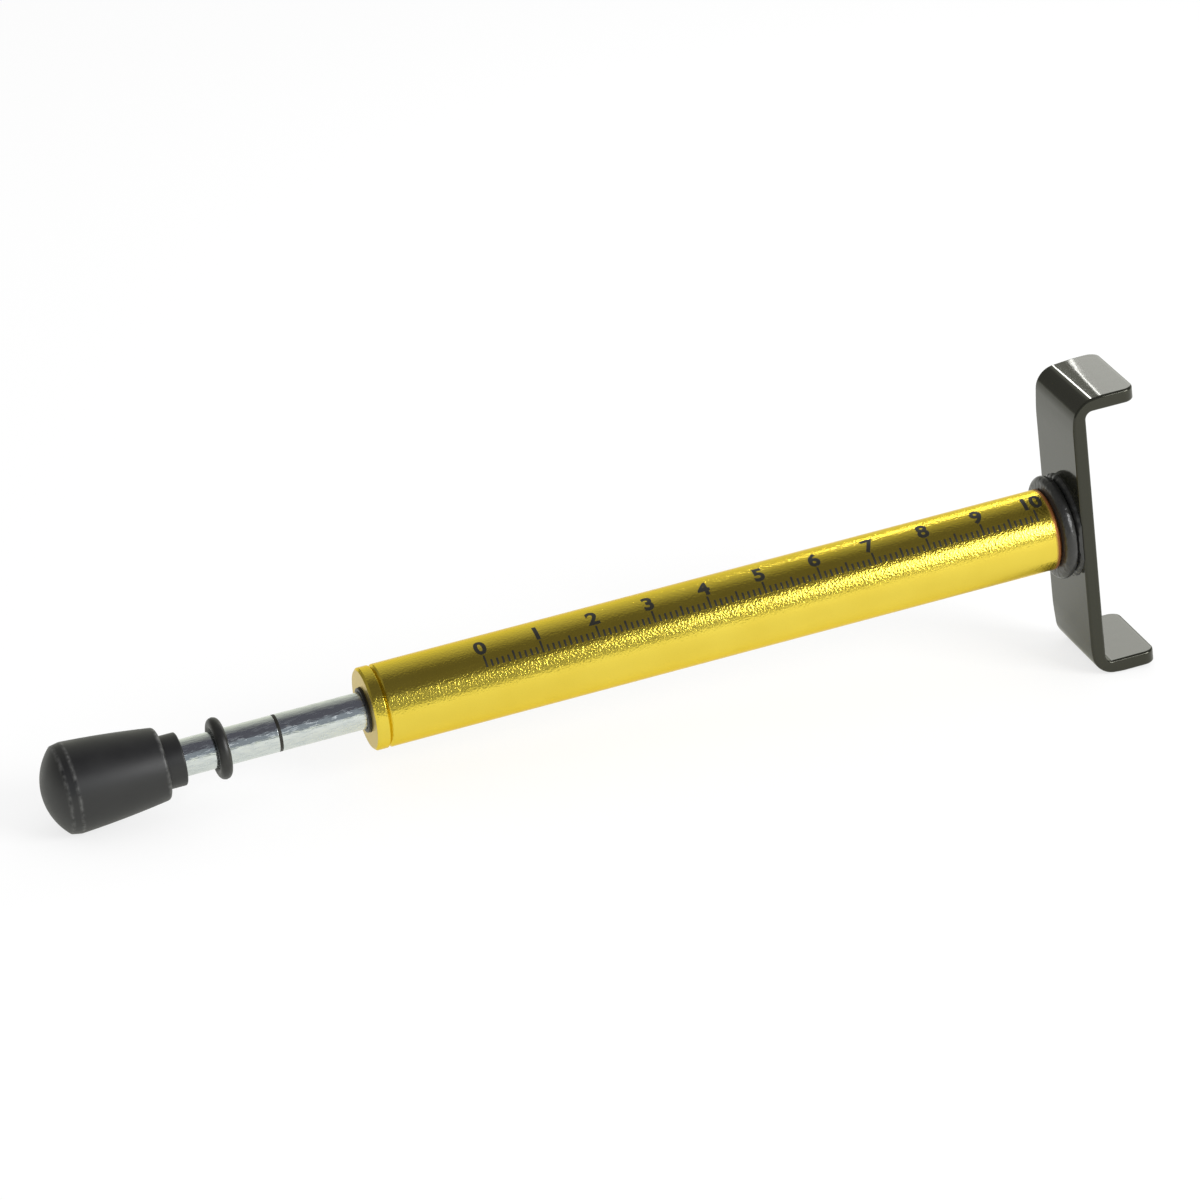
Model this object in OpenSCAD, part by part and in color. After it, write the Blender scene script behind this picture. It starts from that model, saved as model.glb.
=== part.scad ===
// Belt tension tester: a spring push gauge with a bent cradle that lies on the belt.
// The axis of the gauge is X, from the push knob to the cradle. Z runs along the cradle.
// The origin is the middle of the cradle's inner face, where the belt lies. Millimetres.

/* [Cradle] */
// Width of the flat bar
bar_w = 17; // [15:0.5:22]
// Thickness of the flat bar
bar_t = 2.5; // [1.5:0.1:4]
// Clear height between the two flanges
cradle_gap = 48; // [36:0.5:70]
// Reach of the flanges past the belt seat
flange_reach = 9.5; // [6:0.5:20]
// Inside radius of the bends
bend_r = 1.3; // [0.8:0.1:2.5]
// Corner radius at the flange tips
tip_r = 2.2; // [0.5:0.1:4]

/* [Boss] */
// Distance from the tube's rear end to the web
boss_len = 3.2; // [2.6:0.1:6]
// How far the collar stands out past the boss's base
collar_over = 1.45; // [0.8:0.05:2.5]
// Length of the spigot inside the tube
spigot_len = 16; // [8:0.5:25]
// Radius of the collar's round edge
collar_round = 1.1; // [0.6:0.05:1.15]
// Height of the weld along the boss
weld_h = 0.9; // [0.6:0.1:1.2]
// Width of the weld on the web
weld_w = 1.5; // [0.8:0.1:2]
// Bar left beside the boss's base, for the weld
base_margin = 0.8; // [0.4:0.1:1.5]
// Number of ripples round the weld
weld_ripples = 28; // [20:1:36]

/* [Tube] */
// Outside diameter of the tube
tube_od = 14.29; // [13.5:0.01:15.5]
// Wall of the tube
tube_wall = 1.25; // [0.8:0.05:1.6]
// Length of the tube
tube_len = 121.5; // [110:0.5:160]
// Chamfer on the ends of the tube and the cap
edge = 0.4; // [0.1:0.05:0.7]

/* [Cap] */
// Length of the cap in front of the tube
cap_len = 2.5; // [1.6:0.1:6]
// Length of the cap's plug inside the tube
plug_len = 12; // [6:0.5:18]
// Wall of the guide bush
bush_wall = 0.65; // [0.4:0.05:1.2]
// How far the bush stands out of the cap's face
bush_out = 0.5; // [0.1:0.1:1]

/* [Plunger] */
// Diameter of the rod
rod_d = 6.35; // [5.8:0.05:7]
// Rod that shows between cap and knob at rest
rod_out = 32.15; // [29:0.05:45]
// Travel of the plunger
stroke = 18; // [12:0.5:22]
// Diameter of the stud that carries the knob
stud_d = 5; // [4:0.1:5.4]
// Length of the stud
stud_len = 13; // [8:0.5:15]
// Distance of the full-load mark from the cap's face
mark_out = 15.5; // [8:0.1:18]
// Width of the full-load mark
mark_w = 0.55; // [0.3:0.05:1.2]
// Depth of the groove that holds the mark
mark_depth = 0.2; // [0.1:0.05:0.4]

/* [Stop and spring] */
// Thickness of the stop washer
stop_t = 1; // [0.5:0.1:2]
// Thickness of the retaining clip
clip_t = 0.8; // [0.5:0.1:1.2]
// Depth of the clip's groove in the rod
clip_depth = 0.55; // [0.3:0.05:0.9]
// Radial width of the clip's band
clip_band = 1.2; // [0.8:0.1:1.6]
// Width of the clip's opening
clip_mouth = 4.8; // [4:0.1:5.2]
// Thickness of the spring seat
seat_t = 1.6; // [1:0.1:4]
// Wire of the spring
wire_d = 1.4; // [1:0.05:1.8]
// Coils that flex
active_turns = 17; // [12:1:24]

/* [Marker ring] */
// Section of the rubber ring
ring_section = 2.1; // [1.5:0.05:2.8]
// Distance of the ring's middle from the cap's face
ring_out = 25.5; // [24:0.1:26]

/* [Knob] */
// Diameter of the neck
neck_d = 9.1; // [8:0.1:11]
// Length of the neck
neck_len = 3.2; // [2:0.1:6]
// Small diameter of the tapered body
knob_small_d = 12.3; // [11:0.1:14]
// Large diameter of the tapered body
knob_large_d = 15.6; // [14:0.1:20]
// Length of the tapered body
knob_body_len = 15.8; // [13:0.1:24]
// Rounding of the shoulder at the neck
shoulder_r = 0.9; // [0.3:0.1:1.5]
// Length of the bevelled band behind the dome
band_len = 1.65; // [0.8:0.05:3]
// Diameter of the band where the dome starts
band_end_d = 15; // [13.5:0.1:15.5]
// Height of the dome
dome_h = 3.2; // [1.5:0.1:5]
// Wall of the brass insert
insert_wall = 1; // [0.6:0.1:2]
// Closed end of the insert beyond the stud
insert_end = 1; // [0.5:0.1:2]

/* [Fits] */
// Gap between pressed or bonded faces
press_gap = 0.01; // [0:0.005:0.03]
// Radial clearance of the sliding fits
slide_gap = 0.05; // [0.02:0.01:0.1]
// Radial clearance of the washers
washer_gap = 0.25; // [0.1:0.05:0.4]
// Room left between the rod's tail and the spigot at full travel
tail_gap = 0.2; // [0.1:0.1:1]

/* [Hidden] */
$fn = 96;

paint_black = [0.13, 0.13, 0.12];
gold = [0.88, 0.66, 0.14];
plated = [0.70, 0.71, 0.72];
steel = [0.55, 0.56, 0.58];
brass = [0.72, 0.58, 0.28];
rubber_black = [0.06, 0.06, 0.06];
moulded_black = [0.16, 0.16, 0.16];
nylon = [0.90, 0.88, 0.82];

// Places along the axis, from the belt seat at zero towards the knob
web_x = -bar_t;
weld_x = web_x - weld_h;
rim_x = web_x - boss_len;
spigot_x = rim_x - spigot_len;
seam_x = rim_x - tube_len;
face_x = seam_x - cap_len;
plug_x = seam_x + plug_len;
stop_x = plug_x + stop_t;
clip_x = stop_x + clip_t;
spring_x = clip_x + seat_t;
tail_x = spigot_x - stroke - tail_gap;
knob_x = face_x - rod_out;
mark_x = face_x - mark_out;
ring_x = face_x - ring_out;
flange_x = flange_reach;

tube_r = tube_od / 2;
bore_r = tube_r - tube_wall;
rod_r = rod_d / 2;
bush_r = rod_r + slide_gap + bush_wall;
stud_r = stud_d / 2;
insert_r = stud_r + press_gap + insert_wall;
insert_x = knob_x - neck_len;
insert_len = stud_len - neck_len + insert_end;
boss_base_r = bar_w / 2 - base_margin;
mark_floor_r = rod_r - mark_depth;
clip_floor_r = rod_r - clip_depth;

// A body turned about the gauge's axis, from an outline of [radius, place along the axis] points
module turned() {
    rotate([0, 90, 0])
        rotate_extrude()
            children();
}

// A plain turned ring
module turned_ring(inner_r, outer_r, from_x, to_x) {
    turned()
        translate([inner_r, from_x])
            square([outer_r - inner_r, to_x - from_x]);
}

// A rectangle from x0 to x1 whose two corners at x0 are rounded
module rounded_block(x0, x1, half_h, r) {
    translate([x0 + r, -half_h])
        square([x1 - x0 - r, 2 * half_h]);
    translate([x0, r - half_h])
        square([x1 - x0, 2 * (half_h - r)]);
    for (side = [-1, 1])
        translate([x0 + r, side * (half_h - r)])
            circle(r = r);
}

// Flat bar bent to a C, with its flanges past the belt seat and rounded tips
module cradle() {
    past_tip = 1;
    color(paint_black)
        intersection() {
            rotate([90, 0, 0])
                linear_extrude(bar_w, center = true)
                    difference() {
                        rounded_block(web_x, flange_x, cradle_gap / 2 + bar_t, bend_r + bar_t);
                        rounded_block(0, flange_x + past_tip, cradle_gap / 2, bend_r);
                    }
            linear_extrude(cradle_gap + 4 * bar_t, center = true)
                mirror([1, 0])
                    rounded_block(-flange_x, bar_t + past_tip, bar_w / 2, tip_r);
        }
}

// Turned boss: spigot in the tube, rounded collar behind the tube's end, base on the web
module rear_boss() {
    collar_r = boss_base_r + collar_over;
    bead_r = collar_r - collar_round;
    bead_x = weld_x - collar_round;
    spigot_r = bore_r - press_gap;
    color(paint_black)
        turned() {
            polygon([
                [0, spigot_x], [spigot_r - edge, spigot_x], [spigot_r, spigot_x + edge], [spigot_r, rim_x],
                [tube_r + edge / 2, rim_x], [bead_r, bead_x - collar_round], [collar_r, bead_x], [bead_r, weld_x],
                [boss_base_r, weld_x], [boss_base_r, web_x], [0, web_x]
            ]);
            translate([bead_r, bead_x])
                circle(r = collar_round);
        }
}

// Section of the weld in the corner between boss and web
module weld_section(reach) {
    intersection() {
        translate([boss_base_r, web_x])
            circle(r = reach);
        translate([boss_base_r + press_gap, weld_x])
            square([reach, weld_h]);
    }
}

// Fillet weld round the boss: a smooth core with ripples, as wide as the bar allows
module weld_bead() {
    core_share = 0.9;
    ripple_share = 0.6;
    step = 360 / weld_ripples;
    half_z = 2 * (boss_base_r + weld_w);
    color(paint_black)
        intersection() {
            translate([weld_x, -bar_w / 2, -half_z])
                cube([weld_h, bar_w, 2 * half_z]);
            rotate([0, 90, 0])
                union() {
                    rotate_extrude()
                        weld_section(core_share * weld_w);
                    for (i = [0:weld_ripples - 1])
                        rotate(i * step)
                            rotate_extrude(angle = ripple_share * step)
                                weld_section(weld_w);
                }
        }
}

// Aluminium tube, chamfered at both ends
module tube() {
    color(gold)
        turned()
            polygon([
                [bore_r, seam_x], [tube_r - edge, seam_x], [tube_r, seam_x + edge],
                [tube_r, rim_x - edge], [tube_r - edge, rim_x], [bore_r, rim_x]
            ]);
}

// End cap with a flange as wide as the tube and a plug inside it
module front_cap() {
    plug_r = bore_r - press_gap;
    hole_r = bush_r + press_gap;
    color(gold)
        turned()
            polygon([
                [hole_r, face_x], [tube_r - edge, face_x], [tube_r, face_x + edge],
                [tube_r, seam_x - edge], [tube_r - edge, seam_x], [plug_r, seam_x],
                [plug_r, plug_x], [hole_r, plug_x]
            ]);
}

// Bush that guides the rod through the cap
module guide_bush() {
    color(moulded_black)
        turned_ring(rod_r + slide_gap, bush_r, face_x - bush_out, plug_x);
}

// Washer behind the cap's plug, where the clip comes to rest
module stop_washer() {
    color(nylon)
        turned_ring(rod_r + washer_gap, bore_r - washer_gap, plug_x, stop_x);
}

// The spring's wire climbs slowly in the closed turn at each end and evenly between them
spring_len = spigot_x - spring_x;
mean_r = (rod_r + bore_r) / 2;
wire_r = wire_d / 2;
turns = active_turns + 2;
closed_pitch = wire_d + slide_gap;
open_pitch = (spring_len - wire_d - 2 * closed_pitch) / active_turns;
function climb(t) = wire_r + closed_pitch * min(t, 1) + open_pitch * max(0, min(t - 1, active_turns))
    + closed_pitch * max(0, t - turns + 1);
function pitch_at(t) = t < 1 || t > turns - 1 ? closed_pitch : open_pitch;
function lead(t) = atan(pitch_at(t) / (2 * PI * mean_r));
function on_wire(t, a) = let (
    out = mean_r + wire_r * cos(a),
    along = wire_r * sin(a),
    turn = 360 * t
) [
    climb(t) + along * cos(lead(t)),
    out * cos(turn) + along * sin(lead(t)) * sin(turn),
    out * sin(turn) - along * sin(lead(t)) * cos(turn)
];

// Compression spring with closed ends: a round wire swept along its coil
module main_spring() {
    sides = 8;
    steps_per_turn = 16;
    steps = turns * steps_per_turn;
    ring = [for (j = [0:sides - 1]) j];
    points = [for (k = [0:steps], j = ring) on_wire(k / steps_per_turn, (j + 0.5) * 360 / sides)];
    function at(k, j) = k * sides + j % sides;
    wall = [for (k = [0:steps - 1], j = ring, half = [0, 1])
        half == 0 ? [at(k, j), at(k, j + 1), at(k + 1, j)] : [at(k, j + 1), at(k + 1, j + 1), at(k + 1, j)]];
    start_cap = [for (j = ring) at(0, sides - 1 - j)];
    end_cap = [for (j = ring) at(steps, j)];
    color(steel)
        translate([spring_x, 0, 0])
            polyhedron(points, concat(wall, [start_cap, end_cap]));
}

// Rod with a stud for the knob, grooves for the mark and the clip, and a tail inside the spring
module plunger_rod() {
    stud_x = knob_x - stud_len;
    mark_half = mark_w / 2;
    clip_room = clip_x + press_gap;
    color(plated)
        turned()
            polygon([
                [0, stud_x], [stud_r - edge, stud_x], [stud_r, stud_x + edge], [stud_r, knob_x], [rod_r, knob_x],
                [rod_r, mark_x - mark_half], [mark_floor_r, mark_x - mark_half],
                [mark_floor_r, mark_x + mark_half], [rod_r, mark_x + mark_half],
                [rod_r, stop_x], [clip_floor_r, stop_x], [clip_floor_r, clip_room], [rod_r, clip_room],
                [rod_r, tail_x - edge], [rod_r - edge, tail_x], [0, tail_x]
            ]);
}

// Paint ring that fills the mark's groove
module load_mark() {
    mark_half = mark_w / 2;
    color(rubber_black)
        turned_ring(mark_floor_r + press_gap, rod_r, mark_x - mark_half, mark_x + mark_half);
}

// E-shaped clip: an open band round the rod with three lugs in its groove
module retaining_clip() {
    band_in = rod_r + 2 * slide_gap;
    band_out = band_in + clip_band;
    lug_w = 1.8;
    lug_angles = [90, 205, 335];
    color(steel)
        translate([stop_x, 0, 0])
            rotate([90, 0, 90])
                linear_extrude(clip_t)
                    difference() {
                        union() {
                            difference() {
                                circle(r = band_out);
                                circle(r = band_in);
                            }
                            for (a = lug_angles)
                                rotate(a)
                                    translate([0, -lug_w / 2])
                                        square([band_in + clip_band / 2, lug_w]);
                        }
                        circle(r = clip_floor_r + press_gap);
                        translate([-clip_mouth / 2, -2 * band_out])
                            square([clip_mouth, 2 * band_out]);
                    }
}

// Washer between the clip and the spring, guided by the tube's bore
module spring_seat() {
    color(steel)
        turned_ring(rod_r + slide_gap, bore_r - 2 * slide_gap, clip_x, spring_x);
}

// Moulded knob: neck, rounded shoulder, tapered body, bevelled band and dome, with a blind socket
module knob() {
    body_x = knob_x - neck_len;
    band_x = body_x - knob_body_len;
    dome_x = band_x - band_len;
    small_r = knob_small_d / 2;
    large_r = knob_large_d / 2;
    band_r = band_end_d / 2;
    dome_r = (band_r * band_r + dome_h * dome_h) / (2 * dome_h);
    color(moulded_black)
        difference() {
            union() {
                turned() {
                    polygon([
                        [0, knob_x], [neck_d / 2, knob_x], [neck_d / 2, body_x],
                        [small_r - shoulder_r, body_x], [small_r, body_x - shoulder_r],
                        [large_r, band_x], [band_r, dome_x], [0, dome_x]
                    ]);
                    translate([small_r - shoulder_r, body_x - shoulder_r])
                        circle(r = shoulder_r);
                }
                turned()
                    intersection() {
                        translate([0, dome_x - dome_h + dome_r])
                            circle(r = dome_r);
                        translate([0, dome_x - dome_h])
                            square([band_r, dome_h]);
                    }
            }
            turned_ring(0, stud_r + press_gap, insert_x, knob_x + neck_len);
            turned_ring(0, insert_r + press_gap, insert_x - insert_len, insert_x);
        }
}

// Brass insert with a blind hole for the stud
module knob_insert() {
    hole_r = stud_r + press_gap;
    color(brass)
        turned()
            difference() {
                translate([0, insert_x - insert_len])
                    square([insert_r, insert_len]);
                translate([0, insert_x - insert_len + insert_end])
                    square([hole_r, insert_len]);
            }
}

// Rubber ring that grips the rod and stays where the tube pushed it
module marker_ring() {
    color(rubber_black)
        turned()
            translate([rod_r + slide_gap + ring_section / 2, ring_x])
                circle(d = ring_section);
}

cradle();
rear_boss();
weld_bead();
tube();
front_cap();
guide_bush();
stop_washer();
main_spring();
plunger_rod();
load_mark();
retaining_clip();
spring_seat();
knob();
knob_insert();
marker_ring();
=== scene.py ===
import math

import bmesh
import bpy
from mathutils import Matrix, Vector


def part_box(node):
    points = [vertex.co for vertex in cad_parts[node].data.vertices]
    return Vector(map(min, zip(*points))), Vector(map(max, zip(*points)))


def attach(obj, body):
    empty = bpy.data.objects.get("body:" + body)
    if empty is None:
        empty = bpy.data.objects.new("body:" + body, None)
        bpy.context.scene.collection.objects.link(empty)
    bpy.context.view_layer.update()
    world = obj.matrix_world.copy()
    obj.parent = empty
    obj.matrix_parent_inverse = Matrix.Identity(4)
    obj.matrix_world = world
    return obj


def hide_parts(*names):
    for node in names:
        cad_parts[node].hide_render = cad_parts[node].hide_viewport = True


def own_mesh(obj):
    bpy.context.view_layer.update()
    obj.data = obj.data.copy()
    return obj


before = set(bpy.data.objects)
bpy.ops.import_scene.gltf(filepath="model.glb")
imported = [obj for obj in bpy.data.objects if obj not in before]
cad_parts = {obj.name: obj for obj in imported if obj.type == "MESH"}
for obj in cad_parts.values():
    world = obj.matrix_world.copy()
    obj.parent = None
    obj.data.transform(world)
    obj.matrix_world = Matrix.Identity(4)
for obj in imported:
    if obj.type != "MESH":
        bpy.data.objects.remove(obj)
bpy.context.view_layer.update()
scene = bpy.context.scene

# Camera. A long lens nearly a metre away looks down at the gauge from its front left. The picture is
# rolled because the gauge lies on its knob and one corner of the cradle, so its axis slopes.
MM = 0.001
SENSOR_MM = 36
PHOTO_PX = 1200
FOCAL_PX = 5538
CAMERA_AZIMUTH = math.radians(-16.01)
CAMERA_ELEVATION = math.radians(26.75)
CAMERA_ROLL = math.radians(-7.38)
CAMERA_DISTANCE = 931.2 * MM
CAMERA_TARGET = Vector((-86.72, 0, 8.70)) * MM

to_camera = Vector((
    math.sin(CAMERA_AZIMUTH) * math.cos(CAMERA_ELEVATION),
    -math.cos(CAMERA_AZIMUTH) * math.cos(CAMERA_ELEVATION),
    math.sin(CAMERA_ELEVATION),
))
level_side = Vector((0, 0, 1)).cross(to_camera).normalized()
level_up = to_camera.cross(level_side)
camera_side = math.cos(CAMERA_ROLL) * level_side + math.sin(CAMERA_ROLL) * level_up
camera_up = math.cos(CAMERA_ROLL) * level_up - math.sin(CAMERA_ROLL) * level_side
camera = bpy.data.objects.new("camera", bpy.data.cameras.new("camera"))
camera.data.sensor_width = SENSOR_MM
camera.data.lens = FOCAL_PX / PHOTO_PX * SENSOR_MM
camera.matrix_world = Matrix.Translation(CAMERA_TARGET + to_camera * CAMERA_DISTANCE) @ Matrix(
    (camera_side, camera_up, to_camera)
).transposed().to_4x4()
scene.collection.objects.link(camera)
scene.camera = camera

# Cradle. A length of flat steel bar bent twice to a C that hooks over the belt. Its mill edges are
# soft, its tips ground round, and the bends have drawn its outer face in a little. It is sprayed
# with glossy black enamel after welding.
BEND_R = 1.3 * MM
TIP_R = 2.2 * MM
BAR_EDGE_R = 0.45 * MM
SUPPORT = 0.04 * MM
DRAW_DEPTH = 0.42 * MM
EASE_LEN = 3.8 * MM
EASE_TWIST = 0.35
EASE_STEPS = 24
BEND_STEPS = 12
ARC_STEPS = 5
EDGE_FIRST = 2
TIP_FIRST = 7
SHARP_ANGLE = math.radians(40)


def linear(code):
    """An sRGB hex colour as the linear colour a shader works with."""
    shares = [int(code[i:i + 2], 16) / 255 for i in (1, 3, 5)]
    return (*[c / 12.92 if c <= 0.04045 else ((c + 0.055) / 1.055) ** 2.4 for c in shares], 1)


def add_node(tree, kind, settings=None, links=None):
    """Adds a node, sets its properties and sockets by name and links its sockets to other outputs."""
    made = tree.nodes.new(kind)
    for name, value in (settings or {}).items():
        if isinstance(name, str) and hasattr(made, name):
            setattr(made, name, value)
        else:
            made.inputs[name].default_value = value
    for name, source in (links or {}).items():
        tree.links.new(source, made.inputs[name])
    return made


def new_material(name, colour, roughness, metallic=0.0):
    """A material with one principled shader, and that shader's tree for its patterns."""
    made = bpy.data.materials.new(name)
    made.use_nodes = True
    shader = made.node_tree.nodes["Principled BSDF"]
    shader.inputs["Base Color"].default_value = linear(colour)
    shader.inputs["Roughness"].default_value = roughness
    shader.inputs["Metallic"].default_value = metallic
    return made, made.node_tree, shader


def add_piece(name, shape, finish, body, node=None):
    """Makes a smooth piece of a bmesh, on its body and in place of its CAD node."""
    bmesh.ops.recalc_face_normals(shape, faces=shape.faces)
    mesh = bpy.data.meshes.new(name)
    shape.to_mesh(mesh)
    shape.free()
    mesh.shade_smooth()
    mesh.set_sharp_from_angle(angle=SHARP_ANGLE)
    mesh.materials.append(finish)
    piece = bpy.data.objects.new(name, mesh)
    scene.collection.objects.link(piece)
    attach(piece, body)
    if node:
        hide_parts(node)
    return piece


def loft(rings):
    """A closed bmesh through rings of equally many points, with both ends capped."""
    shape = bmesh.new()
    made = [[shape.verts.new(point) for point in ring] for ring in rings]
    for one, two in zip(made, made[1:]):
        for i in range(len(one)):
            j = (i + 1) % len(one)
            shape.faces.new((one[i], one[j], two[j], two[i]))
    shape.faces.new(made[0])
    shape.faces.new(made[-1])
    return shape


cradle_low, cradle_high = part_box("cradle")
bar_t = -cradle_low.x
bar_half_w = cradle_high.y
flange_reach = cradle_high.x
half_gap = cradle_high.z - bar_t
half_bend = (BEND_R + bar_t) * math.pi / 4


def drawn_in(from_bend, y):
    """How far a bend has stretched the bar's outer face inwards, by the way from the bend's middle."""
    share = from_bend / (half_bend + EASE_LEN * (1 + EASE_TWIST * y / bar_half_w))
    return DRAW_DEPTH * math.cos(math.pi / 2 * min(share, 1)) ** 2


def bar_section(from_tip):
    """The bar's outline across its width and thickness, drawn in near a tip for its round corners."""
    half_w = bar_half_w
    if from_tip < TIP_R:
        half_w -= TIP_R - math.sqrt(TIP_R ** 2 - (TIP_R - from_tip) ** 2)
    inset = 0
    if from_tip < BAR_EDGE_R:
        inset = BAR_EDGE_R - math.sqrt(BAR_EDGE_R ** 2 - (BAR_EDGE_R - from_tip) ** 2)
    corner_r = max(BAR_EDGE_R - inset, SUPPORT)
    points = []
    for quarter, (side, face) in enumerate(((1, 1), (-1, 1), (-1, -1), (1, -1))):
        y = side * (half_w - inset - corner_r)
        n = face * (bar_t / 2 - inset - corner_r)
        arc = [math.pi / 2 * (quarter + k / ARC_STEPS) for k in range(ARC_STEPS + 1)]
        corner = [Vector((y + corner_r * math.cos(a), n + corner_r * math.sin(a))) for a in arc]
        into = Vector((-math.sin(arc[0]), math.cos(arc[0]))) * SUPPORT
        out = Vector((-math.sin(arc[-1]), math.cos(arc[-1]))) * SUPPORT
        points += [corner[0] - into, *corner, corner[-1] + out]
    return points


# Stations along the bar, from the upper tip to the lower one: a point on the inner face, the way out
# through the bar, and the distances from the tip and from the bend's middle
edge_turns = [math.pi / 2 * k / ARC_STEPS for k in range(EDGE_FIRST, ARC_STEPS + 1)]
tip_turns = [math.pi / 2 * k / BEND_STEPS for k in range(TIP_FIRST, BEND_STEPS + 1)]
eases = [EASE_LEN * (1 + EASE_TWIST) * k / EASE_STEPS for k in range(1, EASE_STEPS + 1)]
tip_steps = [0, SUPPORT, *[BAR_EDGE_R * (1 - math.cos(a)) for a in edge_turns]]
tip_steps += [TIP_R * (1 - math.cos(a)) for a in tip_turns]
tip_steps += [TIP_R + SUPPORT, *[flange_reach - BEND_R - ease for ease in reversed(eases)]]
stations = [
    ((flange_reach - d, half_gap), (0, 1), d, half_bend + flange_reach - BEND_R - d) for d in tip_steps
]
for k in range(BEND_STEPS + 1):
    a = math.pi / 2 * (1 + k / BEND_STEPS)
    out = (math.cos(a), math.sin(a))
    inner = (BEND_R + BEND_R * out[0], half_gap - BEND_R + BEND_R * out[1])
    stations.append((inner, out, flange_reach, half_bend * abs(2 * k / BEND_STEPS - 1)))
stations += [((0, half_gap - BEND_R - ease), (-1, 0), flange_reach, half_bend + ease) for ease in eases]
stations += [((x, -z), (out[0], -out[1]), d, s) for (x, z), out, d, s in reversed(stations)]
bar_rings = []
for (x, z), out, from_tip, from_bend in stations:
    ring = []
    for y, n in bar_section(from_tip):
        depth = (bar_t / 2 + n) * (1 - drawn_in(from_bend, y) / bar_t)
        ring.append((x + out[0] * depth, y, z + out[1] * depth))
    bar_rings.append(ring)

# Enamel: a dark film with a clear gloss, faintly uneven from the spray
ENAMEL_PEEL = 1.6 * MM
PEEL_DEPTH = 0.03 * MM
ENAMEL_DUST = 0.25 * MM
black_enamel, tree, shader = new_material("black_enamel", "#1f1f1a", 0.08)
shader.inputs["Specular Tint"].default_value = linear("#f8f8e4")
where = add_node(tree, "ShaderNodeTexCoord").outputs["Object"]
peel = add_node(tree, "ShaderNodeTexNoise", {"Scale": 1 / ENAMEL_PEEL, "Detail": 1}, {"Vector": where})
dust = add_node(tree, "ShaderNodeTexNoise", {"Scale": 1 / ENAMEL_DUST, "Detail": 2}, {"Vector": where})
rough = add_node(tree, "ShaderNodeMapRange", {"To Min": 0.05, "To Max": 0.12}, {"Value": dust.outputs[0]})
film = add_node(tree, "ShaderNodeBump", {
    "Strength": 0.25, "Distance": PEEL_DEPTH,
}, {"Height": peel.outputs[0]})
tree.links.new(rough.outputs[0], shader.inputs["Roughness"])
tree.links.new(film.outputs[0], shader.inputs["Normal"])
add_piece("bent_bar", loft(bar_rings), black_enamel, "gauge_body", "cradle")

# Rear boss. A turned steel plug: its spigot is pressed into the tube, its round collar closes the
# tube's end, and its base stands on the middle of the web. It is painted with the cradle.
SEGMENTS = 160
WELD_H = 0.9 * MM
BASE_MARGIN = 0.8 * MM
COLLAR_ROUND = 1.1 * MM
COLLAR_STEPS = 20
TUBE_WALL = 1.25 * MM
TUBE_EDGE = 0.4 * MM
PRESS_GAP = 0.01 * MM
SMALL_EDGE = 0.12 * MM
MOST_REACH = 0.45


def rounded(corners):
    """An outline of (place, radius, rounding) corners, with points beside each arc to keep flats flat."""
    points = []
    for i, (x, r, fillet) in enumerate(corners):
        here = Vector((x, r))
        if fillet == 0:
            points.append(here)
            continue
        back_way = Vector(corners[i - 1][:2]) - here
        on_way = Vector(corners[(i + 1) % len(corners)][:2]) - here
        half = back_way.angle(on_way) / 2
        reach = min(fillet / math.tan(half), MOST_REACH * back_way.length, MOST_REACH * on_way.length)
        fillet = reach * math.tan(half)
        back_way.normalize()
        on_way.normalize()
        centre = here + (back_way + on_way).normalized() * fillet / math.sin(half)
        first = here + back_way * reach - centre
        last = here + on_way * reach - centre
        a = math.atan2(first.y, first.x)
        sweep = (math.atan2(last.y, last.x) - a + math.pi) % (2 * math.pi) - math.pi
        near = min(SUPPORT, reach / 2)
        points.append(here + back_way * (reach + near))
        for k in range(ARC_STEPS + 1):
            b = a + sweep * k / ARC_STEPS
            points.append(centre + fillet * Vector((math.cos(b), math.sin(b))))
        points.append(here + on_way * (reach + near))
    return points


def turned(corners, closed=False):
    """A bmesh turned about the X axis: a closed outline is a ring, an open one ends on the axis."""
    shape = bmesh.new()
    turn = [2 * math.pi * k / SEGMENTS for k in range(SEGMENTS)]
    rings = []
    for x, r in rounded(corners):
        if r == 0:
            rings.append([shape.verts.new((x, 0, 0))] * SEGMENTS)
            continue
        rings.append([shape.verts.new((x, r * math.cos(a), r * math.sin(a))) for a in turn])
    pairs = list(zip(rings, rings[1:]))
    if closed:
        pairs.append((rings[-1], rings[0]))
    for one, two in pairs:
        for k in range(SEGMENTS):
            j = (k + 1) % SEGMENTS
            shape.faces.new(dict.fromkeys((one[k], one[j], two[j], two[k])))
    return shape


boss_low, boss_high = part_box("rear_boss")
tube_low, tube_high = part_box("tube")
tube_r = tube_high.z
bore_r = tube_r - TUBE_WALL
spigot_r = bore_r - PRESS_GAP
collar_r = boss_high.y
base_r = bar_half_w - BASE_MARGIN
round_x = boss_high.x - WELD_H - COLLAR_ROUND
round_r = collar_r - COLLAR_ROUND
collar = []
for k in range(COLLAR_STEPS + 1):
    a = math.pi * k / COLLAR_STEPS
    collar.append((round_x - COLLAR_ROUND * math.cos(a), round_r + COLLAR_ROUND * math.sin(a), 0))
boss = turned([
    (boss_low.x, 0, 0), (boss_low.x, spigot_r - TUBE_EDGE, SMALL_EDGE),
    (boss_low.x + TUBE_EDGE, spigot_r, SMALL_EDGE), (tube_high.x, spigot_r, SMALL_EDGE),
    (tube_high.x, tube_r + TUBE_EDGE / 2, SMALL_EDGE), *collar,
    (boss_high.x - WELD_H, base_r, SMALL_EDGE), (boss_high.x, base_r, SMALL_EDGE), (boss_high.x, 0, 0),
])

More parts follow.
